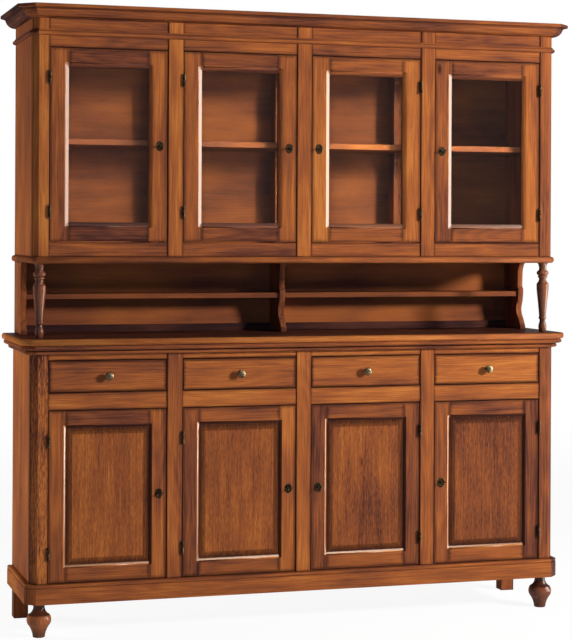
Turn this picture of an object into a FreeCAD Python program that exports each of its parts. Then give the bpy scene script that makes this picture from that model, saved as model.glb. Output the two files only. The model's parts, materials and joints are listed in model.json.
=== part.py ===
import FreeCAD, Part
import os
import re
from types import SimpleNamespace

# A four bay dresser with a glazed hutch. Width runs along X, the front faces -Y and Z is up.
# The origin is on the floor, under the middle of the whole piece. Lengths are in millimetres.

doc = FreeCAD.newDocument("dresser_with_hutch")
V = FreeCAD.Vector

BAYS = 4
HINGE_ON_LEFT = (True, True, False, False)

DRIVING_SIZES = [
    # Plan
    ("bay_width", 424),
    ("pilaster_width", 55),
    ("pilaster_thickness", 25),
    ("base_post_width", 60),
    ("hutch_post_width", 56),
    ("post_depth", 45),
    ("base_cant", 23),
    ("hutch_cant", 20),
    ("base_depth", 413),
    ("hutch_setback", 5),
    ("side_thickness", 20),
    ("back_thickness", 8),
    ("partition_thickness", 18),
    ("front_recess", 3),
    ("rail_thickness", 22.5),
    # Heights from the floor up
    ("foot_height", 120),
    ("plinth_height", 68),
    ("floor_thickness", 20),
    ("lower_opening_height", 603),
    ("drawer_rail_height", 59),
    ("drawer_opening_height", 115),
    ("base_top_rail_height", 52),
    ("worktop_thickness", 23),
    ("niche_height", 262),
    ("hutch_floor_thickness", 23),
    ("hutch_bottom_rail_height", 51),
    ("upper_opening_height", 680),
    ("hutch_top_rail_height", 49),
    ("frieze_height", 73),
    ("hutch_top_thickness", 22),
    # Feet and blocks
    ("foot_radius", 43),
    ("foot_inset", 37),
    ("rear_foot_width", 52),
    ("block_width", 62),
    ("block_inset", 12),
    # Mouldings
    ("plinth_overhang", 18),
    ("worktop_overhang", 42),
    ("worktop_round", 9),
    ("worktop_moulding_height", 32),
    ("worktop_moulding_overhang", 35),
    ("hutch_floor_overhang", 11),
    ("hutch_floor_round", 10),
    ("astragal_height", 21),
    ("astragal_overhang", 11),
    ("astragal_rise", 39),
    ("cornice_height", 45),
    ("cornice_overhang", 56),
    # Doors
    ("door_gap", 3),
    ("door_thickness", 22),
    ("frame_face_width", 52),
    ("glass_bevel_width", 15),
    ("glass_bevel_depth", 9),
    ("glass_thickness", 4),
    ("glass_clearance", 0.5),
    ("rebate_width", 8),
    ("rebate_depth", 10),
    ("panel_bead_width", 8),
    ("panel_bead_depth", 6),
    ("panel_groove_depth", 8),
    ("panel_edge_thickness", 8),
    ("panel_edge_setback", 8),
    ("panel_clearance", 0.5),
    ("panel_margin", 3),
    ("panel_bevel_width", 20),
    ("panel_raise", 6.5),
    ("stop_height", 32),
    ("stop_lap", 12),
    ("stop_thickness", 12),
    # Lift-off hinges
    ("hinge_radius", 5),
    ("hinge_half_length", 21),
    ("hinge_inset", 103),
    ("hinge_clearance", 0.3),
    ("hinge_pin_radius", 2),
    ("hinge_pin_length", 15),
    ("hinge_pin_clearance", 0.05),
    ("hinge_leaf_thickness", 1.2),
    ("hinge_leaf_depth", 16),
    ("hinge_finial_radius", 3),
    # Keys and escutcheons
    ("key_radius", 3),
    ("key_clearance", 0.05),
    ("key_reach", 12),
    ("key_bow_radius", 9),
    ("key_bow_wire_radius", 2),
    ("key_collar_radius", 4.5),
    ("key_collar_length", 3),
    ("escutcheon_half_width", 13.5),
    ("escutcheon_half_height", 18),
    ("escutcheon_thickness", 2.5),
    ("tongue_length", 42),
    ("tongue_width", 12),
    ("tongue_thickness", 3),
    ("tongue_clearance", 1),
    # Drawers
    ("drawer_side_thickness", 12),
    ("drawer_side_height", 85),
    ("drawer_length", 340),
    ("drawer_back_thickness", 12),
    ("drawer_bottom_thickness", 6),
    ("drawer_bottom_rise", 10),
    ("drawer_side_gap", 1),
    ("runner_clearance", 0.3),
    ("runner_thickness", 20),
    ("runner_lap", 13),
    ("runner_guide_height", 20),
    ("knob_radius", 15),
    ("knob_length", 28),
    ("knob_screw_radius", 2),
    ("knob_screw_clearance", 0.1),
    # Shelves and their pins
    ("shelf_thickness", 20),
    ("shelf_setback", 50),
    ("shelf_clearance", 1),
    ("base_shelf_rise", 280),
    ("hutch_shelf_rise", 394),
    ("shelf_pin_radius", 2.5),
    ("shelf_pin_depth", 8.5),
    ("shelf_pin_reach", 10),
    ("shelf_pin_inset", 30),
    ("shelf_pin_clearance", 0.1),
    # Niche
    ("baluster_radius", 22.5),
    ("baluster_inset", 29),
    ("bracket_thickness", 22),
    ("bracket_depth", 155),
    ("niche_shelf_rise", 127),
    ("niche_shelf_thickness", 19),
    ("niche_shelf_depth", 125),
    ("niche_rail_height", 27),
    ("niche_rail_thickness", 18),
    # How far a cutting shape runs past the wood
    ("overrun", 10),
]

DERIVED_PLACES = [
    ("bay_pitch", "bay_width + pilaster_width"),
    ("first_bay_x", "-(4 * bay_width + 3 * pilaster_width) / 2"),
    ("base_half", "base_post_width - first_bay_x"),
    ("hutch_half", "hutch_post_width - first_bay_x"),
    ("base_face", "(cornice_overhang - hutch_setback - base_depth) / 2"),
    ("hutch_face", "base_face + hutch_setback"),
    ("back_face", "base_face + base_depth"),
    ("back_inside", "back_face - back_thickness"),
    ("base_front", "base_face + front_recess"),
    ("hutch_front", "hutch_face + front_recess"),
    ("floor_top", "foot_height + plinth_height"),
    ("drawer_rail_base", "floor_top + lower_opening_height"),
    ("drawer_base", "drawer_rail_base + drawer_rail_height"),
    ("base_top_rail_base", "drawer_base + drawer_opening_height"),
    ("base_top", "base_top_rail_base + base_top_rail_height"),
    ("worktop_top", "base_top + worktop_thickness"),
    ("hutch_floor_base", "worktop_top + niche_height"),
    ("hutch_base", "hutch_floor_base + hutch_floor_thickness"),
    ("upper_opening_base", "hutch_base + hutch_bottom_rail_height"),
    ("upper_opening_top", "upper_opening_base + upper_opening_height"),
    ("frieze_base", "upper_opening_top + hutch_top_rail_height"),
    ("hutch_top_base", "frieze_base + frieze_height"),
    ("total_height", "hutch_top_base + hutch_top_thickness"),
    ("door_width", "bay_width - 2 * door_gap"),
    ("glazed_frame_width", "frame_face_width + glass_bevel_width"),
    ("panel_frame_width", "frame_face_width + panel_bead_width"),
    ("lower_leaf_height", "lower_opening_height - 2 * door_gap"),
    ("upper_leaf_height", "upper_opening_height - 2 * door_gap"),
    ("drawer_front_height", "drawer_opening_height - 2 * door_gap"),
    ("drawer_box_width", "bay_width - 2 * door_gap - 2 * drawer_side_gap"),
]

OWNERS = {name: "Sizes." for name, number in DRIVING_SIZES}
OWNERS.update({name: "Places." for name, formula in DERIVED_PLACES})


def bound(formula):
    """A formula in plain size names, as the document's expressions write it."""
    return re.sub(r"[a-z][a-z_]+", lambda word: OWNERS[word[0]] + word[0], formula)


def fill_sheet(sheet_name, rows):
    sheet = doc.addObject("Spreadsheet::Sheet", sheet_name)
    for number, (name, content) in enumerate(rows, start=1):
        sheet.set(f"A{number}", name)
        sheet.set(f"B{number}", content)
        sheet.setAlias(f"B{number}", name)
    doc.recompute()
    return {name: float(sheet.get(name)) for name, content in rows}


numbers = fill_sheet("Sizes", [(name, str(number)) for name, number in DRIVING_SIZES])
numbers.update(fill_sheet("Places", [(name, "=" + bound(formula)) for name, formula in DERIVED_PLACES]))
size = SimpleNamespace(**numbers)

# Turns that lay a shape made along Z on another axis
FORWARD = FreeCAD.Rotation(V(1, 0, 0), 90)
BACKWARD = FreeCAD.Rotation(V(1, 0, 0), -90)
SIDEWAYS = FreeCAD.Rotation(V(0, 1, 0), 90)
# The turn that stands an ellipse up with its long axis upright, facing the front
UPRIGHT_OVAL = FORWARD.multiply(FreeCAD.Rotation(V(0, 0, 1), 90))
# A key's bow lies nearly level when its door is locked
KEY_BOW_TURN = FreeCAD.Rotation(V(0, 1, 0), -25)

nodes = []


def primitive(kind, place, turn=None, **extents):
    """A Part primitive with its corner or centre, and each of its sizes, bound to the sheets."""
    shape = doc.addObject(kind, "Piece")
    if turn:
        shape.Placement = FreeCAD.Placement(V(), turn)
    for extent, formula in extents.items():
        shape.setExpression(extent, bound(formula))
    for axis, formula in zip("xyz", place):
        shape.setExpression(f".Placement.Base.{axis}", bound(formula))
    return shape


def board(place, width, depth, height):
    return primitive("Part::Box", place, Length=width, Width=depth, Height=height)


def rod(place, radius, length, turn=None):
    return primitive("Part::Cylinder", place, turn, Radius=radius, Height=length)


def fused(*shapes):
    joined = doc.addObject("Part::MultiFuse", "Joined")
    joined.Shapes = list(shapes)
    return joined


def cut(base, tool):
    left_over = doc.addObject("Part::Cut", "Cut")
    left_over.Base = base
    left_over.Tool = tool
    return left_over


def free_form(shape):
    """A piece whose outline is drawn with arcs, from the numbers in the sheets."""
    feature = doc.addObject("Part::Feature", "Shaped")
    feature.Shape = shape
    return feature


def node(name, pieces):
    """One named node that holds its pieces as separate solids."""
    group = doc.addObject("Part::Compound", name)
    group.Links = list(pieces)
    group.Label = name
    nodes.append(group)


def path_wire(start, steps, at):
    """A closed wire from start: steps of two are straight lines, steps of four are arcs by a middle point."""
    edges = []
    here = start
    for step in steps:
        end = step[-2:]
        if len(step) == 4:
            edges.append(Part.Arc(at(*here), at(*step[:2]), at(*end)).toShape())
        else:
            edges.append(Part.makeLine(at(*here), at(*end)))
        here = end
    edges.append(Part.makeLine(at(*here), at(*start)))
    return Part.Wire(edges)


def prism(corners, base, height):
    wire = Part.makePolygon([V(x, y, base) for x, y in corners + corners[:1]])
    return Part.Face(wire).extrude(V(0, 0, height))


def turned(shares, radius, height):
    """A piece turned on a lathe, standing on the origin: shares give its outline up from the foot."""
    wire = path_wire((0, 0), shares + [(0, 1)], lambda r, z: V(radius * r, 0, height * z))
    return Part.Face(wire).revolve(V(), V(0, 0, 1), 360)


def moved(shape, x, y, z):
    copy = shape.copy()
    copy.translate(V(x, y, z))
    return copy


# Plan outlines and mouldings


def body_outline(half, face, cant):
    """The plan of a body with canted front corners, from its back left corner to its back right one."""
    return [
        V(-half, size.back_face, 0),
        V(-half, face + cant, 0),
        V(-half + cant, face, 0),
        V(half - cant, face, 0),
        V(half, face + cant, 0),
        V(half, size.back_face, 0),
    ]


def mitres(outline):
    """How far each corner of an outline moves, for each unit that its sides move out."""
    runs = [(end - start).normalize() for start, end in zip(outline, outline[1:])]
    normals = [V(run.y, -run.x, 0) for run in runs]
    corners = [(a + b) / (1 + a.dot(b)) for a, b in zip(normals, normals[1:])]
    return [normals[0]] + corners + [normals[-1]]


def plate(outline, overhang, base, thickness):
    corners = [corner + out * overhang for corner, out in zip(outline, mitres(outline))]
    return prism([(corner.x, corner.y) for corner in corners], base, thickness)


def rounded_plate(outline, overhang, base, thickness, radius):
    """A board whose long edges, top and bottom, are rounded on the front, the cants and the sides."""
    solid = plate(outline, overhang, base, thickness)
    edges = []
    for edge in solid.Edges:
        level = edge.BoundBox.ZLength < radius
        at_back = edge.BoundBox.YMin > size.back_inside
        if level and not at_back:
            edges.append(edge)
    return solid.makeFillet(radius, edges)


def moulding(outline, shares, overhang, base, height):
    """Mitred lengths of one moulding, planted on each side of an outline."""
    lengths = []
    out = mitres(outline)
    for number, (start, end) in enumerate(zip(outline, outline[1:])):
        along = (end - start).normalize()
        normal = V(along.y, -along.x, 0)
        reach = overhang + size.overrun
        first = start - along * reach
        wire = path_wire(
            (0, 0), shares, lambda o, z: first + normal * (overhang * o) + V(0, 0, base + height * z)
        )
        bar = Part.Face(wire).extrude(along * ((end - start).Length + 2 * reach))
        strip = [start, end, end + out[number + 1] * reach, start + out[number] * reach]
        corners = [(corner.x, corner.y) for corner in strip]
        lengths.append(bar.common(prism(corners, base - size.overrun, height + 2 * size.overrun)))
    return [free_form(length.Solids[0]) for length in lengths]


base_outline = body_outline(size.base_half, size.base_face, size.base_cant)
hutch_outline = body_outline(size.hutch_half, size.hutch_face, size.hutch_cant)

# Feet, plinth and floor

FOOT_SHARES = [
    (0.43, 0),
    (0.48, 0.012, 0.50, 0.05),
    (0.60, 0.19, 0.80, 0.335),
    (1.00, 0.50, 0.86, 0.665),
    (0.79, 0.675),
    (0.56, 0.76, 0.46, 0.87),
    (0.46, 1),
]
foot = turned(FOOT_SHARES, size.foot_radius, size.foot_height)
foot_x = size.base_half - size.foot_inset
foot_y = size.base_face + size.foot_inset
node("front_feet", [free_form(moved(foot, x, foot_y, 0)) for x in (-foot_x, foot_x)])

REAR_FOOT_PLACES = ("-base_half", "base_half - rear_foot_width")
node(
    "rear_feet",
    [
        board((x, "back_face - rear_foot_width", "0"), "rear_foot_width", "rear_foot_width", "foot_height")
        for x in REAR_FOOT_PLACES
    ],
)

PLINTH_SHARES = [(1, 0), (1, 0.80), (0.84, 0.82), (0.98, 0.91, 0.70, 1), (0, 1)]
plinth = moulding(base_outline, PLINTH_SHARES, size.plinth_overhang, size.foot_height, size.plinth_height)
node("plinth", plinth)

floor_base = size.floor_top - size.floor_thickness
floor_pieces = [free_form(plate(base_outline, 0, floor_base, size.floor_thickness))]
for block_x in ("-base_half + block_inset", "base_half - block_inset - block_width"):
    for block_y in ("base_face + block_inset", "back_face - block_width"):
        place = (block_x, block_y, "foot_height")
        floor_pieces.append(board(place, "block_width", "block_width", "plinth_height - floor_thickness"))
node("base_floor", floor_pieces)

# Uprights: sides, back, partitions, posts and shelf pins

TIERS = {
    "base": ("base_half", "base_face", "floor_top", "base_top", "base_shelf_rise"),
    "hutch": ("hutch_half", "hutch_face", "hutch_base", "hutch_top_base", "hutch_shelf_rise"),
}
# The base is parted into four cupboards by whole boards, from the pilasters to the back.
# The hutch is open from end to end, with a slim upright at the front and the back between its bays.
UPRIGHTS = {
    "base": [("base_face + pilaster_thickness", "back_inside - base_face - pilaster_thickness")],
    "hutch": [
        ("hutch_face + pilaster_thickness", "shelf_setback + 2 * shelf_pin_inset - pilaster_thickness"),
        ("back_inside - 2 * shelf_pin_inset", "2 * shelf_pin_inset"),
    ],
}
side_panels, back_panels, partitions, shelves, shelf_pins = [], [], [], [], []
partition_x = [f"first_bay_x + {bay} * bay_pitch - pilaster_width / 2" for bay in range(1, BAYS)]


def pin_rows(face, foot, rise):
    """Where the front and the back row of shelf pins lie in a tier, and how high."""
    height = f"{foot} + {rise} - shelf_pin_radius - shelf_pin_clearance"
    front = f"{face} + shelf_setback + shelf_pin_inset"
    back = "back_inside - shelf_pin_inset"
    return [(front, height), (back, height)]


def pin_holes(left, length, rows):
    radius = "shelf_pin_radius + shelf_pin_clearance"
    return fused(*[rod((left, y, z), radius, length, SIDEWAYS) for y, z in rows])


for tier, (half, face, foot_level, top_level, rise) in TIERS.items():
    rows = pin_rows(face, foot_level, rise)
    rise_height = f"{top_level} - {foot_level}"
    side_depth = f"back_inside - {face} - post_depth"
    side_inside = {"left": f"-{half} + side_thickness", "right": f"{half} - side_thickness"}
    for side, corner, hole_left in (
        ("left", f"-{half}", f"-{half} + side_thickness - shelf_pin_depth"),
        ("right", side_inside["right"], f"{half} - side_thickness"),
    ):
        panel = board((corner, f"{face} + post_depth", foot_level), "side_thickness", side_depth, rise_height)
        side_panels.append(cut(panel, pin_holes(hole_left, "shelf_pin_depth", rows)))
    for middle in partition_x:
        left = f"{middle} - partition_thickness / 2"
        for start, depth in UPRIGHTS[tier]:
            upright = board((left, start, foot_level), "partition_thickness", depth, rise_height)
            partitions.append(cut(upright, pin_holes(left, "partition_thickness", rows)))
    walls = [side_inside["left"]]
    for middle in partition_x:
        walls += [f"{middle} - partition_thickness / 2", f"{middle} + partition_thickness / 2"]
    walls.append(side_inside["right"])
    for bay in range(BAYS):
        left, right = walls[2 * bay : 2 * bay + 2]
        shelves.append(
            board(
                (f"{left} + shelf_clearance", f"{face} + shelf_setback", f"{foot_level} + {rise}"),
                f"({right}) - ({left}) - 2 * shelf_clearance",
                f"back_inside - {face} - shelf_setback - shelf_clearance",
                "shelf_thickness",
            )
        )
        for y, z in rows:
            for pin_left in (f"{left} - shelf_pin_depth", f"{right} - shelf_pin_reach"):
                shelf_pins.append(
                    rod((pin_left, y, z), "shelf_pin_radius", "shelf_pin_depth + shelf_pin_reach", SIDEWAYS)
                )

for half, foot_level, top_level in (
    ("base_half", "floor_top", "base_top"),
    ("hutch_half", "worktop_top", "hutch_top_base"),
):
    place = (f"-{half}", "back_inside", foot_level)
    back_panels.append(board(place, f"2 * {half}", "back_thickness", f"{top_level} - {foot_level}"))
node("side_panels", side_panels)
node("back_panels", back_panels)
node("partitions", partitions)
node("shelves", shelves)
node("shelf_pins", shelf_pins)


def posts(half, face, cant, post_width, foot_level, top_level, face_name, levels):
    """Two canted corner posts and the pilasters between the bays."""
    corner = [
        (-half, face + cant),
        (-half + cant, face),
        (-half + post_width, face),
        (-half + post_width, face + size.post_depth),
        (-half, face + size.post_depth),
    ]
    mirrored = [(-x, y) for x, y in reversed(corner)]
    pieces = [free_form(prism(plan, foot_level, top_level - foot_level)) for plan in (corner, mirrored)]
    for middle in partition_x:
        place = (f"{middle} - pilaster_width / 2", face_name, levels[0])
        height = f"{levels[1]} - {levels[0]}"
        pieces.append(board(place, "pilaster_width", "pilaster_thickness", height))
    return pieces


node(
    "base_posts",
    posts(
        size.base_half,
        size.base_face,
        size.base_cant,
        size.base_post_width,
        size.floor_top,
        size.base_top,
        "base_face",
        ("floor_top", "base_top"),
    ),
)
node(
    "hutch_posts",
    posts(
        size.hutch_half,
        size.hutch_face,
        size.hutch_cant,
        size.hutch_post_width,
        size.hutch_base,
        size.hutch_top_base,
        "hutch_face",
        ("hutch_base", "hutch_top_base"),
    ),
)

# Rails and door stops


def bay_left(bay):
    return f"first_bay_x + {bay} * bay_pitch"


def rails(front, spans):
    """One rail in each bay for each span of a base height and a rail height."""
    return [
        board((bay_left(bay), front, base), "bay_width", "rail_thickness", height)
        for base, height in spans
        for bay in range(BAYS)
    ]


def stops(front, opening_top):
    """Strips behind the rails, which the doors' top edges close against."""
    return [
        board(
            (bay_left(bay), f"{front} + rail_thickness", f"{opening_top} - stop_lap"),
            "bay_width",
            "stop_thickness",
            "stop_height",
        )
        for bay in range(BAYS)
    ]


BASE_SPANS = [("drawer_rail_base", "drawer_rail_height"), ("base_top_rail_base", "base_top_rail_height")]
HUTCH_SPANS = [
    ("hutch_base", "hutch_bottom_rail_height"),
    ("upper_opening_top", "hutch_top_rail_height"),
    ("frieze_base", "frieze_height"),
]
node("base_rails", rails("base_front", BASE_SPANS) + stops("base_front", "drawer_rail_base"))
node("hutch_rails", rails("hutch_front", HUTCH_SPANS) + stops("hutch_front", "upper_opening_top"))

# Worktop, niche, hutch floor and top mouldings

WORKTOP_MOULDING_SHARES = [
    (0.32, 0),
    (0.51, 0.21, 0.32, 0.42),
    (0.32, 0.46),
    (0.77, 0.49),
    (1.00, 0.74, 0.77, 0.99),
    (0.77, 1),
    (0, 1),
]
node(
    "worktop",
    [
        free_form(
            rounded_plate(
                base_outline, size.worktop_overhang, size.base_top, size.worktop_thickness, size.worktop_round
            )
        )
    ],
)
node(
    "worktop_moulding",
    moulding(
        base_outline,
        WORKTOP_MOULDING_SHARES,
        size.worktop_moulding_overhang,
        size.base_top - size.worktop_moulding_height,
        size.worktop_moulding_height,
    ),
)

BALUSTER_SHARES = [
    (0.50, 0),
    (0.68, 0.075, 0.50, 0.15),
    (0.46, 0.18),
    (0.59, 0.19),
    (0.64, 0.207, 0.59, 0.224),
    (0.56, 0.232),
    (0.71, 0.38, 0.93, 0.56),
    (1.00, 0.63, 1.00, 0.70),
    (0.78, 0.722),
    (0.63, 0.755, 0.62, 0.782),
    (0.78, 0.79),
    (0.82, 0.80, 0.78, 0.81),
    (0.66, 0.817),
    (1.00, 0.852, 0.70, 0.89),
    (0.60, 0.925, 0.66, 0.955),
    (0.78, 0.985, 0.96, 1),
]
baluster = turned(BALUSTER_SHARES, size.baluster_radius, size.niche_height)
baluster_x = size.hutch_half - size.baluster_inset
baluster_y = size.hutch_face + size.baluster_inset
node(
    "balusters",
    [free_form(moved(baluster, x, baluster_y, size.worktop_top)) for x in (-baluster_x, baluster_x)],
)

# The brackets' front edge from the foot up: depth share, then height share
BRACKET_SHARES = [
    (1, 0),
    (1, 0.04),
    (0.93, 0.11, 0.86, 0.17),
    (0.755, 0.27, 0.82, 0.40),
    (0.862, 0.50, 0.868, 0.595),
    (0.81, 0.63),
    (0.83, 0.86),
    (0.88, 0.93, 1, 1),
    (0, 1),
]


def bracket(left):
    def at(depth_share, height_share):
        y = size.back_inside - size.bracket_depth * depth_share
        return V(left, y, size.worktop_top + size.niche_height * height_share)

    return Part.Face(path_wire((0, 0), BRACKET_SHARES, at)).extrude(V(size.bracket_thickness, 0, 0))


bracket_places = (
    -size.hutch_half,
    -size.bracket_thickness / 2,
    size.hutch_half - size.bracket_thickness,
)
node("niche_brackets", [free_form(bracket(left)) for left in bracket_places])

niche_pieces = []
niche_length = "hutch_half - 3 * bracket_thickness / 2"
for niche_left in ("-hutch_half + bracket_thickness", "bracket_thickness / 2"):
    shelf_place = (niche_left, "back_inside - niche_shelf_depth", "worktop_top + niche_shelf_rise")
    rail_place = (niche_left, "back_inside - niche_rail_thickness", "worktop_top")
    niche_pieces.append(board(shelf_place, niche_length, "niche_shelf_depth", "niche_shelf_thickness"))
    niche_pieces.append(board(rail_place, niche_length, "niche_rail_thickness", "niche_rail_height"))
node("niche_shelves", niche_pieces)

hutch_floor = rounded_plate(
    hutch_outline,
    size.hutch_floor_overhang,
    size.hutch_floor_base,
    size.hutch_floor_thickness,
    size.hutch_floor_round,
)
back_slot = Part.makeBox(
    2 * size.hutch_half,
    size.back_thickness + size.overrun,
    size.hutch_floor_thickness + 2 * size.overrun,
    V(-size.hutch_half, size.back_inside, size.hutch_floor_base - size.overrun),
)
node("hutch_floor", [free_form(hutch_floor.cut(back_slot).Solids[0])])

ASTRAGAL_SHARES = [(0.30, 0), (0.40, 0.05), (1.00, 0.40, 0.40, 0.75), (0.40, 0.82), (0.25, 1), (0, 1)]
node(
    "astragal",
    moulding(
        hutch_outline,
        ASTRAGAL_SHARES,
        size.astragal_overhang,
        size.upper_opening_top + size.astragal_rise,
        size.astragal_height,
    ),
)
CORNICE_SHARES = [
    (0.06, 0),
    (0.46, 0.18, 0.68, 0.60),
    (0.72, 0.68),
    (0.94, 0.74),
    (1, 0.77),
    (1, 1),
    (0, 1),
]
node(
    "cornice",
    moulding(
        hutch_outline,
        CORNICE_SHARES,
        size.cornice_overhang,
        size.total_height - size.cornice_height,
        size.cornice_height,
    ),
)
node("hutch_top", [free_form(plate(hutch_outline, 0, size.hutch_top_base, size.hutch_top_thickness))])

# Drawers, their runners and knobs

runners = []
for bay in range(BAYS):
    for on_left in (True, False):
        edge = bay_left(bay) if on_left else bay_left(bay) + " + bay_width"
        wall_gap = "(pilaster_width - partition_thickness) / 2"
        if on_left and bay == 0 or not on_left and bay == BAYS - 1:
            wall_gap = "(base_post_width - side_thickness)"
        guide = f"{wall_gap} + door_gap"
        bearer = f"{wall_gap} + runner_lap"
        bearer_left = f"{edge} - {wall_gap}" if on_left else f"{edge} - runner_lap"
        guide_left = f"{edge} - {wall_gap}" if on_left else f"{edge} - door_gap"
        start = "base_face + post_depth"
        top = "drawer_base + door_gap - runner_clearance"
        length = "back_inside - base_face - post_depth"
        runners.append(
            fused(
                board((bearer_left, start, f"{top} - runner_thickness"), bearer, length, "runner_thickness"),
                board((guide_left, start, top), guide, length, "runner_guide_height"),
            )
        )
node("drawer_runners", runners)

KNOB_SHARES = [
    (0.62, 0),
    (0.62, 0.08),
    (0.50, 0.14, 0.34, 0.18),
    (0.30, 0.38, 0.46, 0.50),
    (0.80, 0.54),
    (1.00, 0.72, 0.72, 0.92),
    (0.38, 0.99),
]
knob_screw = Part.makeCylinder(size.knob_screw_radius, size.door_thickness, V(), V(0, 0, -1))
knob = turned(KNOB_SHARES, size.knob_radius, size.knob_length).fuse(knob_screw)
knob.rotate(V(), V(1, 0, 0), 90)

for bay in range(BAYS):
    left = f"{bay_left(bay)} + door_gap"
    base = "drawer_base + door_gap"
    box_left = f"{left} + drawer_side_gap"
    back_of_front = "base_front + door_thickness"
    inner_width = "drawer_box_width - 2 * drawer_side_thickness"
    inner_left = f"{box_left} + drawer_side_thickness"
    knob_x = size.first_bay_x + bay * size.bay_pitch + size.bay_width / 2
    knob_z = size.drawer_base + size.drawer_opening_height / 2
    screw_hole = rod(
        (f"{bay_left(bay)} + bay_width / 2", "base_front", "drawer_base + drawer_opening_height / 2"),
        "knob_screw_radius + knob_screw_clearance",
        "door_thickness",
        BACKWARD,
    )
    front = board((left, "base_front", base), "door_width", "door_thickness", "drawer_front_height")
    sides = []
    for side_left in (box_left, f"{box_left} + drawer_box_width - drawer_side_thickness"):
        place = (side_left, back_of_front, base)
        sides.append(board(place, "drawer_side_thickness", "drawer_length", "drawer_side_height"))
    back_y = f"{back_of_front} + drawer_length - drawer_back_thickness"
    back = board((inner_left, back_y, base), inner_width, "drawer_back_thickness", "drawer_side_height")
    bottom = board(
        (inner_left, back_of_front, f"{base} + drawer_bottom_rise"),
        inner_width,
        "drawer_length - drawer_back_thickness",
        "drawer_bottom_thickness",
    )
    node(f"drawer_{bay + 1}_box", [cut(front, screw_hole), *sides, back, bottom])
    node(f"drawer_{bay + 1}_knob", [free_form(moved(knob, knob_x, size.base_front, knob_z))])

# Doors: leaf, hinges, escutcheon and key

hinge_pins = []


def frame_members(left, front, base, height, width, tool):
    """Two stiles and two rails of one width, each cut by the same profile, groove and keyhole."""
    blanks = []
    for stile_left in (left, f"{left} + door_width - {width}"):
        blanks.append(board((stile_left, front, base), width, "door_thickness", height))
    for rail_base in (base, f"{base} + {height} - {width}"):
        place = (f"{left} + {width}", front, rail_base)
        blanks.append(board(place, f"door_width - 2 * {width}", "door_thickness", width))
    return [cut(blank, tool) for blank in blanks]


def tapered(left, front, base, height, near_inset, far_inset, near_y, far_y):
    """A block between two upright rectangles, each set in from the edges of the leaf by its own amount."""
    return primitive(
        "Part::Wedge",
        (left, front, base),
        Xmin=near_inset,
        Zmin=near_inset,
        Xmax=f"door_width - ({near_inset})",
        Zmax=f"{height} - ({near_inset})",
        X2min=far_inset,
        Z2min=far_inset,
        X2max=f"door_width - ({far_inset})",
        Z2max=f"{height} - ({far_inset})",
        Ymin=near_y,
        Ymax=far_y,
    )


def inset_board(left, front, base, height, inset, from_front, thickness):
    """A board inside a leaf's outline, the same amount in from each of its edges."""
    place = (f"{left} + {inset}", f"{front} + {from_front}", f"{base} + {inset}")
    return board(place, f"door_width - 2 * ({inset})", thickness, f"{height} - 2 * ({inset})")


def glazed_leaf(name, left, front, base, height, keyhole):
    width = "glazed_frame_width"
    rebate_inset = f"({width} - rebate_width)"
    rebate_from = "door_thickness - rebate_depth"
    bevel = tapered(left, front, base, height, "frame_face_width", width, "0", "glass_bevel_depth")
    rebate = inset_board(left, front, base, height, rebate_inset, rebate_from, "rebate_depth + overrun")
    frame = frame_members(left, front, base, height, width, fused(bevel, rebate, keyhole))
    glass_inset = f"({width} - rebate_width + glass_clearance)"
    glass = inset_board(left, front, base, height, glass_inset, rebate_from, "glass_thickness")
    bead_y = f"{front} + {rebate_from} + glass_thickness"
    bead_thickness = "rebate_depth - glass_thickness"
    upright = f"{height} - 2 * {rebate_inset}"
    level = f"door_width - 2 * {width}"
    beads = []
    for bead_left in (f"{left} + {rebate_inset}", f"{left} + door_width - {width}"):
        place = (bead_left, bead_y, f"{base} + {rebate_inset}")
        beads.append(board(place, "rebate_width", bead_thickness, upright))
    for bead_base in (f"{base} + {rebate_inset}", f"{base} + {height} - {width}"):
        place = (f"{left} + {width}", bead_y, bead_base)
        beads.append(board(place, level, bead_thickness, "rebate_width"))
    node(f"{name}_frame", frame + beads)
    node(f"{name}_glass", [glass])


def panelled_leaf(name, left, front, base, height, keyhole):
    width = "panel_frame_width"
    groove_inset = f"({width} - panel_groove_depth)"
    bead = tapered(left, front, base, height, "frame_face_width", width, "0", "panel_bead_depth")
    setback = "panel_edge_setback"
    groove = inset_board(left, front, base, height, groove_inset, setback, "panel_edge_thickness")
    frame = frame_members(left, front, base, height, width, fused(bead, groove, keyhole))
    edge_inset = f"({width} - panel_groove_depth + panel_clearance)"
    edge = inset_board(left, front, base, height, edge_inset, setback, "panel_edge_thickness")
    bevel_inset = f"{width} + panel_margin"
    field_inset = f"{bevel_inset} + panel_bevel_width"
    field_from = f"{setback} - panel_raise"
    field = tapered(left, front, base, height, field_inset, bevel_inset, field_from, setback)
    node(f"{name}_leaf", frame + [fused(edge, field)])


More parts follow.
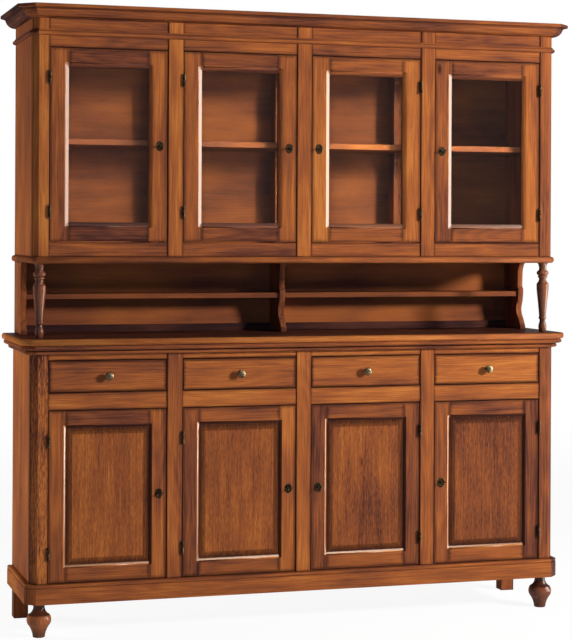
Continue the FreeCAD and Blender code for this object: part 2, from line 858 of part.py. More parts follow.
def hinge_halves(gap_middle, face, front, level, toward_door):
    """The fixed half with its pin, and the door's half that lifts off it."""
    axis_y = f"{face} - hinge_radius - hinge_clearance"
    leaf_depth = f"{front} - ({axis_y}) + hinge_leaf_depth"
    near = "door_gap / 2 - hinge_leaf_thickness"
    outer = "-door_gap / 2"
    fixed_left, door_left = (outer, near) if toward_door > 0 else (near, outer)
    fixed_base = f"{level} - hinge_half_length"
    door_base = f"{level} + hinge_clearance"

    def barrel_and_leaf(leaf_left, half_base, finial_level):
        leaf_place = (f"{gap_middle} + {leaf_left}", axis_y, half_base)
        finial_place = (gap_middle, axis_y, finial_level)
        return [
            rod((gap_middle, axis_y, half_base), "hinge_radius", "hinge_half_length"),
            primitive("Part::Sphere", finial_place, Radius="hinge_finial_radius"),
            board(leaf_place, "hinge_leaf_thickness", leaf_depth, "hinge_half_length"),
        ]

    pin = rod((gap_middle, axis_y, level), "hinge_pin_radius", "hinge_pin_length")
    fixed = fused(pin, *barrel_and_leaf(fixed_left, fixed_base, fixed_base))
    solid = fused(*barrel_and_leaf(door_left, door_base, f"{door_base} + hinge_half_length"))
    bore = rod(
        (gap_middle, axis_y, level),
        "hinge_pin_radius + hinge_pin_clearance",
        "hinge_pin_length + hinge_clearance",
    )
    return fixed, cut(solid, bore)


def key_and_tongue(axis_x, front, axis_z):
    stem_start = f"{front} - escutcheon_thickness - key_reach"
    stem = rod(
        (axis_x, stem_start, axis_z),
        "key_radius",
        "escutcheon_thickness + key_reach + door_thickness + tongue_clearance",
        BACKWARD,
    )
    bow = primitive(
        "Part::Torus",
        (axis_x, f"{stem_start} - key_bow_radius", axis_z),
        KEY_BOW_TURN,
        Radius1="key_bow_radius",
        Radius2="key_bow_wire_radius",
    )
    collar_y = f"{front} - escutcheon_thickness - hinge_clearance - key_collar_length"
    collar = rod((axis_x, collar_y, axis_z), "key_collar_radius", "key_collar_length", BACKWARD)
    tongue = board(
        (
            f"{axis_x} - tongue_width / 2",
            f"{front} + door_thickness + tongue_clearance",
            f"{axis_z} - tongue_width / 2",
        ),
        "tongue_width",
        "tongue_thickness",
        "tongue_width / 2 + tongue_length",
    )
    return [fused(stem, bow, collar), tongue]


def door(name, bay, face, front, opening_base, height, make_leaf):
    on_left = HINGE_ON_LEFT[bay]
    left = f"{bay_left(bay)} + door_gap"
    base = f"{opening_base} + door_gap"
    lock_middle = "door_width - frame_face_width / 2" if on_left else "frame_face_width / 2"
    axis_x = f"{left} + {lock_middle}"
    axis_z = f"{base} + {height} / 2"
    hole_radius = "key_radius + key_clearance"
    keyhole = rod((axis_x, front, axis_z), hole_radius, "door_thickness", BACKWARD)
    make_leaf(name, left, front, base, height, keyhole)

    hardware = []
    gap_inset = "door_gap / 2" if on_left else "bay_width - door_gap / 2"
    gap_middle = f"{bay_left(bay)} + {gap_inset}"
    for level in (f"{base} + hinge_inset", f"{base} + {height} - hinge_inset"):
        fixed, moving = hinge_halves(gap_middle, face, front, level, 1 if on_left else -1)
        hinge_pins.append(fixed)
        hardware.append(moving)
    oval = primitive(
        "Part::Ellipse",
        (axis_x, front, axis_z),
        UPRIGHT_OVAL,
        MajorRadius="escutcheon_half_height",
        MinorRadius="escutcheon_half_width",
    )
    escutcheon = doc.addObject("Part::Extrusion", "Escutcheon")
    escutcheon.Base = oval
    escutcheon.DirMode = "Custom"
    escutcheon.Dir = V(0, -1, 0)
    escutcheon.Solid = True
    escutcheon.setExpression("LengthFwd", bound("escutcheon_thickness"))
    hole = rod((axis_x, front, axis_z), hole_radius, "escutcheon_thickness", FORWARD)
    hardware.append(cut(escutcheon, hole))
    node(f"{name}_hardware", hardware)
    node(f"{name}_key", key_and_tongue(axis_x, front, axis_z))


for bay in range(BAYS):
    door(
        f"lower_door_{bay + 1}",
        bay,
        "base_face",
        "base_front",
        "floor_top",
        "lower_leaf_height",
        panelled_leaf,
    )
    door(
        f"upper_door_{bay + 1}",
        bay,
        "hutch_face",
        "hutch_front",
        "upper_opening_base",
        "upper_leaf_height",
        glazed_leaf,
    )
node("hinge_pins", hinge_pins)

# Build, test and write every node

doc.recompute()
for thing in doc.Objects:
    if "Invalid" in thing.State or "Error" in thing.State:
        raise RuntimeError(f"{thing.Label} of {thing.TypeId} failed: {thing.State}")
for group in nodes:
    if group.Shape.isNull() or not group.Shape.isValid():
        raise RuntimeError(f"{group.Label} has no valid shape")
    if len(group.Shape.Solids) != len(group.Links):
        raise RuntimeError(f"{group.Label} has {len(group.Shape.Solids)} solids, not {len(group.Links)}")

os.makedirs("parts", exist_ok=True)
for group in nodes:
    group.Shape.exportStep(f"parts/{group.Label}.step")
print(f"{len(nodes)} nodes, {sum(len(group.Shape.Solids) for group in nodes)} solids")
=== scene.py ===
# %% [markdown]
# A walnut-stained dresser with a hutch, seen from its left.
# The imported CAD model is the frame: it fixes every size and every moving body.
# This lesson dresses that frame. It rounds the arrises of the boards, lays grain along each one,
# turns the feet, columns and knobs again on a finer lathe, and lights the piece as in a studio.

# %% Load the frame
import json
import math
import random

import bmesh
import bpy
from mathutils import Euler, Matrix, Vector


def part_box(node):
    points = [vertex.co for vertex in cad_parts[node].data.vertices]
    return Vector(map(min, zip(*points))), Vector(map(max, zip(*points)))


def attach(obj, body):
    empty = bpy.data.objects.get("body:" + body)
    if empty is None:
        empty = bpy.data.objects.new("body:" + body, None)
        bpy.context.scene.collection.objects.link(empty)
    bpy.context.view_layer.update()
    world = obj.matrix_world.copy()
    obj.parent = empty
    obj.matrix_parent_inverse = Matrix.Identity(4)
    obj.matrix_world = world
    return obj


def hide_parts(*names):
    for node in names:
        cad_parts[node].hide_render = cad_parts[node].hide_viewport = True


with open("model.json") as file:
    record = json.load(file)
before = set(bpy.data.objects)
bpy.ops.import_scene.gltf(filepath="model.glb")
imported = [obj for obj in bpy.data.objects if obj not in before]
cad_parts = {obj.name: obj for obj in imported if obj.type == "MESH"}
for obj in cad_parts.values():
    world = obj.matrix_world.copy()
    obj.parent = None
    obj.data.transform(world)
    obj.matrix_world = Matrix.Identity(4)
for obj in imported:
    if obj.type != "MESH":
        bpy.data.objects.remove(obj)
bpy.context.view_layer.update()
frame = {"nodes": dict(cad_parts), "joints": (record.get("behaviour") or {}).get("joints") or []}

scene = bpy.context.scene
scene.view_settings.view_transform = "Standard"
print("frame nodes:", len(frame["nodes"]))

# %% [markdown]
# The photograph was taken from the left, from just above the niche, with the uprights kept parallel.
# A tilted camera would make them lean, so the camera stays level and its lens is shifted down instead.
# The focal length is given in pixels of a picture 640 pixels high.

# %% Camera
PICTURE_HEIGHT = 640
FOCAL_PIXELS = 1840
HORIZON_ROW = 228.85
SENSOR_WIDTH = 36
CAMERA_PLACE = (-2.023, -6.523, 1.426)
CAMERA_TURN = math.radians(-17.11)
CAMERA_ROLL = math.radians(0.277)

lens = bpy.data.cameras.new("studio_camera")
lens.sensor_width = SENSOR_WIDTH
lens.lens = SENSOR_WIDTH * FOCAL_PIXELS / PICTURE_HEIGHT
lens.shift_y = (HORIZON_ROW - PICTURE_HEIGHT / 2) / PICTURE_HEIGHT
camera = bpy.data.objects.new("studio_camera", lens)
scene.collection.objects.link(camera)
camera.location = CAMERA_PLACE
level = Euler((math.radians(90), 0, CAMERA_TURN)).to_matrix()
camera.rotation_euler = (level @ Matrix.Rotation(CAMERA_ROLL, 3, "Z")).to_euler()
scene.camera = camera
print("lens:", round(lens.lens, 1), "mm")

# %% [markdown]
# Shaders are easier to read as arithmetic than as a net of nodes.
# One small class holds a socket. Adding or multiplying two of them adds a Math node,
# and its add method makes any other node: the settings come first, then the sockets.

# %% Wires between shader nodes
# Sockets of a Mix node: its amount, its two colours and, among its outputs, the mixed colour
MIX_AMOUNT = 0
MIX_FIRST = 6
MIX_SECOND = 7
MIXED_COLOUR = 2


class Wire:
    """A socket of a node tree, which can be used in sums."""

    def __init__(self, tree, socket=None):
        self.tree = tree
        self.socket = socket

    def add(self, kind, settings, inputs, output=0):
        """A new node with those settings, and with values or wires at its inputs."""
        node = self.tree.nodes.new(kind)
        for name, value in settings.items():
            setattr(node, name, value)
        for name, value in inputs.items():
            if isinstance(value, Wire):
                self.tree.links.new(value.socket, node.inputs[name])
            else:
                node.inputs[name].default_value = value
        return Wire(self.tree, node.outputs[output])

    def maths(self, operation, *values):
        inputs = dict(enumerate((self, *values)))
        return self.add("ShaderNodeMath", {"operation": operation}, inputs)

    def __add__(self, other):
        return self.maths("ADD", other)

    __radd__ = __add__

    def __sub__(self, other):
        return self.maths("SUBTRACT", other)

    def __rsub__(self, other):
        return self.maths("MULTIPLY_ADD", -1, other)

    def __mul__(self, other):
        return self.maths("MULTIPLY", other)

    __rmul__ = __mul__

    def step(self, low, high, start=0, end=1):
        """A smooth rise from start to end while this value goes from low to high."""
        inputs = dict(enumerate((self, low, high, start, end)))
        return self.add("ShaderNodeMapRange", {"interpolation_type": "SMOOTHSTEP"}, inputs)

    def vector(self, x, y, z):
        return self.add("ShaderNodeCombineXYZ", {}, {0: x, 1: y, 2: z})

    def vectors(self, operation, *values):
        """Arithmetic with vectors. A length or a dot product is a single value, at the second output."""
        inputs = dict(enumerate((self, *values)))
        output = int(operation in ("LENGTH", "DOT_PRODUCT"))
        return self.add("ShaderNodeVectorMath", {"operation": operation}, inputs, output)

    def parts(self):
        return [self.add("ShaderNodeSeparateXYZ", {}, {0: self}, axis) for axis in range(3)]

    def noise(self, waves, detail=2, rough=0.5):
        """A noise from 0 to 1 with so many waves in a metre each way."""
        stretched = self.vectors("MULTIPLY", waves)
        inputs = {"Vector": stretched, "Scale": 1, "Detail": detail, "Roughness": rough}
        return self.add("ShaderNodeTexNoise", {}, inputs)

    def swing(self, waves, detail=2, rough=0.5):
        """A noise that swings about zero."""
        return self.noise(waves, detail, rough) - 0.5

    def ramp(self, stops):
        """The colour that a row of stops has for this value."""
        colour = self.add("ShaderNodeValToRGB", {}, {0: self})
        elements = colour.socket.node.color_ramp.elements
        while len(elements) < len(stops):
            elements.new(0.5)
        for element, (position, shade) in zip(elements, stops):
            element.position = position
            element.color = shade
        return colour

    def blend(self, amount, first, second):
        """A colour that goes from the first to the second while the amount goes from 0 to 1."""
        inputs = {MIX_AMOUNT: amount, MIX_FIRST: first, MIX_SECOND: second}
        return self.add("ShaderNodeMix", {"data_type": "RGBA"}, inputs, MIXED_COLOUR)


def paint(red, green, blue):
    """A colour given as on a paint chart, 0 to 255, as the light that it reflects by the sRGB curve."""
    shares = [channel / 255 for channel in (red, green, blue)]
    linear = [s / 12.92 if s <= 0.04045 else ((s + 0.055) / 1.055) ** 2.4 for s in shares]
    return (*linear, 1)


def new_finish(name):
    """A material, the start of its wires and its main shader."""
    material = bpy.data.materials.new(name)
    material.use_nodes = True
    return material, Wire(material.node_tree), material.node_tree.nodes["Principled BSDF"]


def connect(wire, shader, name):
    wire.tree.links.new(wire.socket, shader.inputs[name])


print("paper white reflects", round(paint(240, 240, 240)[0], 2))

# %% [markdown]
# The studio is white paper to the lens, and so is what shows through the glass.
# Lacquer and metal see that paper only straight behind the piece. The rest of the room is dark to them,
# because a white room would lay a veil over the stain. The room's own light on the wood is weak too,
# so that the lamps do the modelling. The floor is white as well, and only its shadows are left grey.
# A strip of it beside the right end glows brighter than white, seen only in the lacquer: a painted
# reflection, as of a sheet of card.

# %% Backdrop and floor
WHITE = (1, 1, 1, 1)
BLACK = (0, 0, 0, 1)
FORWARD = (-math.sin(CAMERA_TURN), math.cos(CAMERA_TURN), 0)
ROOM_LIGHT = 0.045
# How bright the lacquer sees the room and the paper, and the cosines where one goes over into the other
DARK_ROOM = 0.12
BRIGHT_PAPER = 0.8
PAPER_EDGE = (0.96, 0.998)
FLOOR_REACH = 40
FLOOR_WHITE = paint(228, 227, 225)
# The distances where the floor goes over into the backdrop
FLOOR_FADE = (2.2, 7)
# Close to the piece, the share of the lamps' light that the floor leaves out, and its own glow
NEAR_UNLIT = 0.80
NEAR_GLOW = 0.91
# The glow of the floor and of its strip in the lacquer, and the soft edges of the strip
GLOSS_GLOW = 0.15
STRIP_GLOW = 3
STRIP_LEFT = (1.2, 1.4)
STRIP_FRONT = (-1.3, -0.9)
STRIP_BACK = (0, 0.2)


def kinds_of_ray(wire):
    """Masks for the rays that come straight to the lens or through glass, and for those from a gloss."""

    def path(name):
        return wire.add("ShaderNodeLightPath", {}, {}, name).maths("MINIMUM", 1)

    unscattered = 1 - path("Diffuse Depth")
    straight = (path("Is Camera Ray") + path("Is Transmission Ray")) * (1 - path("Glossy Depth"))
    return straight * unscattered, path("Is Glossy Ray") * unscattered


def paper_glow(direction):
    """How bright the paper looks in the lacquer: white straight ahead, dark elsewhere."""
    return direction.vectors("DOT_PRODUCT", FORWARD).step(*PAPER_EDGE, DARK_ROOM, BRIGHT_PAPER)


world = bpy.data.worlds.new("studio")
scene.world = world
world.use_nodes = True
start = Wire(world.node_tree)
direction = start.add("ShaderNodeTexCoord", {}, {}, "Generated")
to_lens, to_gloss = kinds_of_ray(start)
scattered = 1 - to_lens - to_gloss
strength = to_lens + to_gloss * paper_glow(direction) + scattered * ROOM_LIGHT
sky = world.node_tree.nodes["Background"]
sky.inputs["Color"].default_value = WHITE
connect(strength, sky, "Strength")

floor_sheet = bmesh.new()
bmesh.ops.create_grid(floor_sheet, x_segments=1, y_segments=1, size=FLOOR_REACH)
floor_mesh = bpy.data.meshes.new("studio_floor")
floor_sheet.to_mesh(floor_mesh)
floor_sheet.free()
floor = bpy.data.objects.new("studio_floor", floor_mesh)
scene.collection.objects.link(floor)

pale, start, shader = new_finish("pale_floor")
floor_mesh.materials.append(pale)
place = start.add("ShaderNodeTexCoord", {}, {}, "Object")
far_off = place.vectors("LENGTH").step(*FLOOR_FADE)
right, back = place.parts()[:2]
strip = right.step(*STRIP_LEFT) * back.step(*STRIP_FRONT) * back.step(*STRIP_BACK, 1, 0)
to_lens, to_gloss = kinds_of_ray(start)
shader.inputs["Roughness"].default_value = 1
shader.inputs["Specular IOR Level"].default_value = 0
shader.inputs["Emission Strength"].default_value = 1
unlit = to_lens * (NEAR_UNLIT + (1 - NEAR_UNLIT) * far_off) + to_gloss * NEAR_UNLIT
connect(start.blend(unlit, FLOOR_WHITE, BLACK), shader, "Base Color")
# The strip's glow, seen only in the lacquer, is a painted reflection
glow = to_lens * (NEAR_GLOW + (1 - NEAR_GLOW) * far_off) + to_gloss * (GLOSS_GLOW + STRIP_GLOW * strip)
connect(start.vector(glow, glow, glow), shader, "Emission Color")
print("floor reaches", FLOOR_REACH, "m each way")

# %% [markdown]
# The lamps follow the shadows of the photograph. The main soft lamp stands about 48 degrees to the right,
# low enough to shine into the niche and through one glass door on to the back of the next bay.
# It glints only weakly in the lacquer. A lamp behind lights the left side,
# and a faint cool fill comes from near the camera.
# Two screens show in the lacquer alone, as strips of paper would: a tall one at the right draws
# the bright line down each left slope, and one overhead those along the foot.


# %% Lamps
def lamp(name, at, to, width, height, level, colour=(1, 1, 1), lights=True, shines=True):
    """A soft lamp of that level where it points. It lights surfaces, shines in their gloss, or both."""
    light = bpy.data.lights.new(name, "AREA")
    light.shape = "RECTANGLE"
    light.size = width
    light.size_y = height
    reach = Vector(at) - Vector(to)
    light.energy = level * math.pi**2 * reach.length_squared
    light.color = colour
    holder = bpy.data.objects.new(name, light)
    holder.location = at
    holder.rotation_euler = reach.to_track_quat("Z", "Y").to_euler()
    holder.visible_diffuse = lights
    holder.visible_glossy = shines
    scene.collection.objects.link(holder)
    return light


MIDDLE = (0, -0.15, 1.15)
MAIN_LAMP = (4.35, -4.05, 2.65)
CREAM = (1, 0.88, 0.74)
COOL = (0.50, 0.90, 1.9)
# The name, place, aim, width, height and level of each lamp
lamps = [
    lamp("main_lamp", MAIN_LAMP, MIDDLE, 0.8, 0.8, 0.97, shines=False),
    lamp("main_glint", MAIN_LAMP, MIDDLE, 0.6, 0.6, 0.25, lights=False),
    lamp("front_fill", (-1.7, -6.0, 1.45), MIDDLE, 1.6, 1.2, 0.065, COOL, shines=False),
    lamp("rear_left_lamp", (-3.2, 1.6, 1.0), (-1, 0, 0.8), 1.0, 1.6, 0.76, shines=False),
    lamp("right_screen", (3.0, -0.95, 1.25), (0.6, -0.95, 1.25), 1.3, 2.4, 1.3, CREAM, lights=False),
    lamp("top_screen", (1.2, -1.95, 3.6), (0.7, -0.5, 1.0), 3.4, 0.5, 0.38, CREAM, lights=False),
]
print("lamps:", [round(light.energy) for light in lamps], "W")

# %% [markdown]
# The wood is stained walnut under a satin lacquer. Each board was cut from its own plank,
# so a board carries its own grain space: along, across and through, with an offset of its own.
# The figure is a wide noise stretched along the board, the streaks and pores narrower ones,
# and the growth rings are a wave round a heart that lies a little behind the face.
# The maker wiped a dark glaze into the edges, so each board also knows how far its edges are.
# The same dark colour is also laid into hollows and cuts as painted shade.

# %% Walnut
STAIN = [
    (0.00, paint(58, 35, 33)),
    (0.25, paint(100, 57, 44)),
    (0.50, paint(145, 81, 49)),
    (0.75, paint(180, 101, 51)),
    (1.00, paint(207, 126, 61)),
]
# A dark brown for the glaze, also used as painted shade
GLAZE_AND_SHADE = paint(50, 27, 24)
KNOT = paint(40, 20, 14)
WASH = paint(58, 27, 6)
# What each corner of a board knows: its grain space, its place on the board, half the board's size,
# and its finish, which is its tone, the strength of its glaze and the width of that glaze
LAYERS = ("grain", "place", "half", "finish")
# Waves of each noise in a metre along the board, across it and through it
BEND_WAVES = (1.7, 7, 7)
FIGURE_WAVES = (2.0, 24, 24)
STREAK_WAVES = (3.5, 150, 150)
LINE_WAVES = (7, 380, 380)
PORE_WAVES = (26, 850, 850)
MOTTLE_WAVES = (3.2, 8, 8)
FLECK_WAVES = (46, 420, 420)
DRIFT_WAVES = (1.3, 0.6, 0.6)
KNOT_WAVES = (4.5, 11, 11)
# How far the grain sways, the width of a growth ring, and where their heart lies and how far it wanders
SWAY = 0.014
RING_WIDTH = 0.012
HEART_DEPTH = 0.05
HEART_DRIFT = 0.16
HEART_SWAY = 0.10
# How the streaks are made up, and how much they bend the rings and fray the glaze
STREAK_SHARE = 0.6
LINE_SHARE = 0.7
RING_FRAY = 3
GLAZE_FRAY = 0.6
EDGE_SWAY = 0.006
EDGE_FRAY = 0.004
# The noise between which a pore opens, in the stain and in the relief, and how dark and how deep it is
PORE_STAIN = (0.55, 0.75)
PORE_DARK = 0.10
PORE_HOLE = (0.5, 0.75)
PORE_DEPTH = 0.5
# Where the glaze fades, in shares of its width
GLAZE_FADE = (0.1, 1)
# Only cells whose chance number is above this hold a knot, which fades out between these distances
KNOT_SHARE = 0.955
KNOT_RIM = (0.04, 0.13)
KNOT_DARK = 0.75
# The dark seam at a board's edges, and the half length from which a board has one
SEAM_FADE = (0.0015, 0.0045)
SEAM_DARK = 0.6
SEAM_FROM = (0.0005, 0.001)
# Roughness of the bare wood, and what the streaks and the glaze add and a gloss takes away
ROUGH = 0.50
STREAK_ROUGH = 0.25
GLAZE_ROUGH = 0.12
GLOSS_SMOOTH = 0.10
# Relief of the wood, and what a gloss fills of it
RELIEF = 0.22
RELIEF_FILLED = 0.20
RELIEF_HEIGHT = 0.0006
BARE_SHINE = 0.03
# The lacquer, whose index rises with its gloss
COAT_ROUGH = 0.15
COAT_IOR = 1.5
GLOSS_IOR = 0.3


def walnut(name, figure, streak, fleck, rings, mottle, gloss, wash=0):
    """Stained wood: how strong its figure, streaks, flecks, rings, mottles, gloss and brown wash are."""
    material, start, shader = new_finish(name)

    def read(layer):
        return start.add("ShaderNodeAttribute", {"attribute_name": layer}, {}, "Vector")

    grain, place, half, finish = [read(layer) for layer in LAYERS]
    tone, glaze, glaze_width = finish.parts()

    bend = grain.swing(BEND_WAVES)
    sideways = bend * SWAY
    swayed = grain.vectors("ADD", start.vector(0, sideways, sideways))
    wide = swayed.swing(FIGURE_WAVES, 3, 0.55)
    narrow = swayed.swing(STREAK_WAVES, 4, 0.65)
    fine = swayed.swing(LINE_WAVES, 2, 0.6)
    pores = swayed.noise(PORE_WAVES, 1)
    blotch = grain.swing(MOTTLE_WAVES, 2)
    flecks = swayed.swing(FLECK_WAVES, 2, 0.6)

    along, across, through = place.parts()
    depth = through + HEART_DEPTH + grain.swing(DRIFT_WAVES, 1) * HEART_DRIFT
    from_heart = start.vector(0, across + bend * HEART_SWAY, depth).vectors("LENGTH")
    ring = (from_heart * (math.tau / RING_WIDTH) + narrow * RING_FRAY).maths("SINE")

    streaks = narrow * STREAK_SHARE + fine * LINE_SHARE
    shade = tone + wide * figure + streaks * streak + flecks * fleck + ring * rings + blotch * mottle
    colour = (shade - pores.step(*PORE_STAIN) * PORE_DARK).ramp(STAIN)
    if wash:
        colour = start.blend(wash, colour, WASH)

    cells = {"Vector": swayed.vectors("MULTIPLY", KNOT_WAVES), "Scale": 1, "Randomness": 1}
    cell_distance = start.add("ShaderNodeTexVoronoi", {}, cells, "Distance")
    cell_colour = start.add("ShaderNodeTexVoronoi", {}, cells, "Color")
    rare = cell_colour.parts()[0].maths("GREATER_THAN", KNOT_SHARE)
    knot = rare * cell_distance.step(*KNOT_RIM, 1, 0) * KNOT_DARK
    colour = start.blend(knot, colour, KNOT)

    half_length, half_width = half.parts()[:2]
    end_gap = half_length - along.maths("ABSOLUTE")
    side_gap = half_width - across.maths("ABSOLUTE")
    margin = end_gap.maths("MINIMUM", side_gap) + bend * EDGE_SWAY + narrow * EDGE_FRAY
    nearness = 1 - (margin.maths("DIVIDE", glaze_width) + narrow * GLAZE_FRAY).step(*GLAZE_FADE)
    seam = margin.step(*SEAM_FADE, SEAM_DARK, 0) * half_length.step(*SEAM_FROM)
    glazed = nearness * glaze
    connect(start.blend(glazed.maths("MAXIMUM", seam), colour, GLAZE_AND_SHADE), shader, "Base Color")

    roughness = ROUGH + narrow * STREAK_ROUGH + glazed * GLAZE_ROUGH - gloss * GLOSS_SMOOTH
    connect(roughness, shader, "Roughness")
    height = narrow * STREAK_SHARE - pores.step(*PORE_HOLE) * PORE_DEPTH
    relief = {"Strength": RELIEF - RELIEF_FILLED * gloss, "Distance": RELIEF_HEIGHT, "Height": height}
    connect(start.add("ShaderNodeBump", {}, relief), shader, "Normal")
    shader.inputs["Specular IOR Level"].default_value = BARE_SHINE
    shader.inputs["Coat Weight"].default_value = gloss
    shader.inputs["Coat Roughness"].default_value = COAT_ROUGH
    shader.inputs["Coat IOR"].default_value = COAT_IOR + GLOSS_IOR * gloss
    return material


# The strengths follow the order of the function's values
solid_walnut = walnut("walnut_solid", 0.60, 1.05, 0.20, 0.05, 0.75, 0.05)
rough_walnut = walnut("walnut_rough", 0.80, 1.30, 2.20, 0.05, 1.30, 0.05)
panel_walnut = walnut("walnut_panel", 0.50, 0.90, 1.05, 0.00, 0.70, 0.02, 0.12)
border_walnut = walnut("walnut_border", 0.40, 0.90, 1.05, 0.00, 0.70, 0.02, 0.50)
inside_walnut = walnut("walnut_inside", 0.36, 0.28, 0.15, 0.01, 0.85, 0.02)
turned_walnut = walnut("walnut_turned", 0.50, 0.60, 0.20, 0.04, 0.45, 0.75)
rubbed_walnut = walnut("walnut_rubbed", 0.30, 0.40, 0.15, 0.02, 0.30, 1.00)
print("wood finishes:", [material.name for material in bpy.data.materials if "walnut_" in material.name])

# %% [markdown]
# A CAD node is a heap of loose triangles, listed solid after solid.
# A solid is complete when each of its edges has met its twin, so counting open edges parts the boards.
# Each board is then welded, its flat faces made whole, and its sharp long edges rounded by a bevel:
# a new edge catches the light and an old one has been rubbed soft.

# %% Boards from the frame
WELD = 2e-5
# Faces at less than the first angle make one flat face, at more than the second they make a curve,
# and at more than the third an arris
ONE_PLANE = math.radians(0.4)
CURVED = 0.01
SHARP = math.radians(25)
SHORTEST_ARRIS = 0.006
# How far chance can shift a board's grain space each way, and how much it can change the tone
GRAIN_REACH = 9
TONE_SPREAD = 0.05
# The darkening in a hollow, partly glaze and partly painted shade, grows with its angle up to the strongest
# one
HOLLOW_GLAZE_AND_SHADE = 1.4
STRONGEST_HOLLOW_DARKENING = 0.75
GLAZE_WIDTH = 0.010


def solids_of(node):
    """The solids of a node, each in a bmesh of its own."""
    heap = bmesh.new()
    heap.from_mesh(frame["nodes"][node].data)
    open_edges = set()
    first = 0
    solids = []
    for face in heap.faces:
        corners = [tuple(round(c, 6) for c in vert.co) for vert in face.verts]
        for pair in zip(corners, corners[1:] + corners[:1]):
            open_edges ^= {frozenset(pair)}
        if not open_edges:
            solids.append(welded(heap, first, face.index))
            first = face.index + 1
    heap.free()
    return solids


def welded(heap, first, last):
    """A copy of some of a heap's triangles, joined at their edges and with flat faces made whole."""
    solid = heap.copy()
    others = [face for face in solid.faces if not first <= face.index <= last]
    bmesh.ops.delete(solid, geom=others, context="FACES")
    bmesh.ops.remove_doubles(solid, verts=solid.verts, dist=WELD)
    bmesh.ops.dissolve_limit(solid, angle_limit=ONE_PLANE, verts=solid.verts, edges=solid.edges)
    return solid


def bevel(shape, edges, width, segments=2, clamp=False):
    """Rounds some edges of a shape, and lists the new faces."""
    settings = {"segments": segments, "profile": 0.5, "affect": "EDGES", "clamp_overlap": clamp}
    return bmesh.ops.bevel(shape, geom=edges, offset=width, material=-1, **settings)["faces"]


def round_arrises(board, radius):
    """Bevels the long outer edges, and shades the bevels and the curved faces round."""
    for face in board.faces:
        angles = [edge.calc_face_angle(0) for edge in face.edges]
        face.smooth = any(CURVED < angle < SHARP for angle in angles)
    arrises = []
    for edge in board.edges:
        outer = edge.is_manifold and edge.calc_face_angle_signed(0) > SHARP
        if outer and edge.calc_length() > SHORTEST_ARRIS:
            arrises.append(edge)
    for face in bevel(board, arrises, radius, clamp=True):
        face.smooth = True


def add_layers(shape):
    """The four layers that the walnut reads."""
    return [shape.verts.layers.float_vector.new(layer) for layer in LAYERS]


def lay_grain(board, name, tone, glaze, glaze_width, moulded=False):
    """Writes a board's grain and finish. A moulded one is darkened in its hollows, partly by glaze and
    partly as painted shade, and has no glaze at its edges.
    """
    chance = random.Random(name)
    low = Vector([min(vert.co[axis] for vert in board.verts) for axis in range(3)])
    high = Vector([max(vert.co[axis] for vert in board.verts) for axis in range(3)])
    order = sorted(range(3), key=lambda axis: low[axis] - high[axis])
    middle = (low + high) / 2
    offset = Vector([chance.uniform(-GRAIN_REACH, GRAIN_REACH) for axis in range(3)])
    tone = tone + chance.uniform(-TONE_SPREAD, TONE_SPREAD)
    grain, place, half, finish = add_layers(board)
    board.normal_update()
    for vert in board.verts:
        here = Vector([vert.co[axis] - middle[axis] for axis in order])
        vert[grain] = here + offset
        vert[place] = here
        strength = glaze
        if moulded:
            bends = [edge.calc_face_angle_signed(0) for edge in vert.link_edges if edge.is_manifold]
            # The hollows are darkened: partly glaze, partly painted shade
            strength = min(STRONGEST_HOLLOW_DARKENING, glaze - min(bends + [0]) * HOLLOW_GLAZE_AND_SHADE)
        else:
            vert[half] = [(high[axis] - low[axis]) / 2 for axis in order]
        vert[finish] = (tone, strength, glaze_width)


def pour(part, whole):
    """Adds one bmesh to another."""
    mesh = bpy.data.meshes.new("pour")
    part.to_mesh(mesh)
    part.free()
    whole.from_mesh(mesh)
    bpy.data.meshes.remove(mesh)


def new_piece(name, whole, material, body, slot, *nodes):
    """A finished piece that rides on a body and stands for its CAD nodes."""
    mesh = bpy.data.meshes.new(name)
    whole.to_mesh(mesh)
    whole.free()
    mesh.materials.append(material)
    piece = bpy.data.objects.new(name, mesh)
    scene.collection.objects.link(piece)
    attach(piece, body)
    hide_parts(*nodes)
    return piece


def dressed(node, body, material, arris, tones, glazes, glaze_width=GLAZE_WIDTH, moulded=False):
    """One node's boards, rounded and grained. Tones and glazes are given in turn to its boards."""
    whole = bmesh.new()
    add_layers(whole)
    for number, board in enumerate(solids_of(node)):
        round_arrises(board, arris)
        tone = tones[number % len(tones)]
        glaze = glazes[number % len(glazes)]
        lay_grain(board, f"{node} {number}", tone, glaze, glaze_width, moulded)
        pour(board, whole)
    return new_piece(f"{node}_wood", whole, material, body, "walnut", node)


def refinish(piece, material, chosen):
    """Gives the chosen faces of a piece a second finish."""
    piece.data.materials.append(material)
    for face in piece.data.polygons:
        face.material_index = int(chosen(face))


# %% [markdown]
# The carcase is plain boards. Uprights, rails and sides show their faces, so they take the solid finish,
# while the floor, shelves, partitions and the inside of the back are duller. The worktop's top is painted
# dark as painted shade and a painted reflection of the dark niche, its edge fades to the right,
# and the corner post at the left of the base was cut from a rougher plank.
# Mouldings get a very small arris, and their hollows are darkened, partly by glaze and partly as painted
# shade.
# Their right corners, and the left sides of the astragal and the cornice, are painted darker as painted
# shade.

# %% Carcase and mouldings
MILLIMETRE = 0.001
BOARD_ARRIS = 1.4 * MILLIMETRE
INSIDE_ARRIS = 1.2 * MILLIMETRE
MOULDING_ARRIS = 0.5 * MILLIMETRE
FAINT_GLAZE = [0.05]
WORKTOP_TONE = [0.86]
# The dark tone of the worktop's top is painted shade and a painted reflection of the dark niche
WORKTOP_TOP_SHADE_TONE = 0.21
# The change of the worktop's tone in each metre to the right
WORKTOP_FADE = -0.12
# Only the left corner post lies to the left of this
LEFT_POST_SIDE = -0.9
# How squarely a face looks up or back to count as a top or as the outside of the back
UPWARD = 0.99
BACKWARD = 0.9
# Tones of the bottom rails, the top rails, the frieze boards and the stops, each from left to right
HUTCH_RAILS = [0.46, 0.50, 0.54, 0.56] + [0.56, 0.56, 0.56, 0.54] + [0.57, 0.56, 0.55, 0.54] + 4 * [0.50]
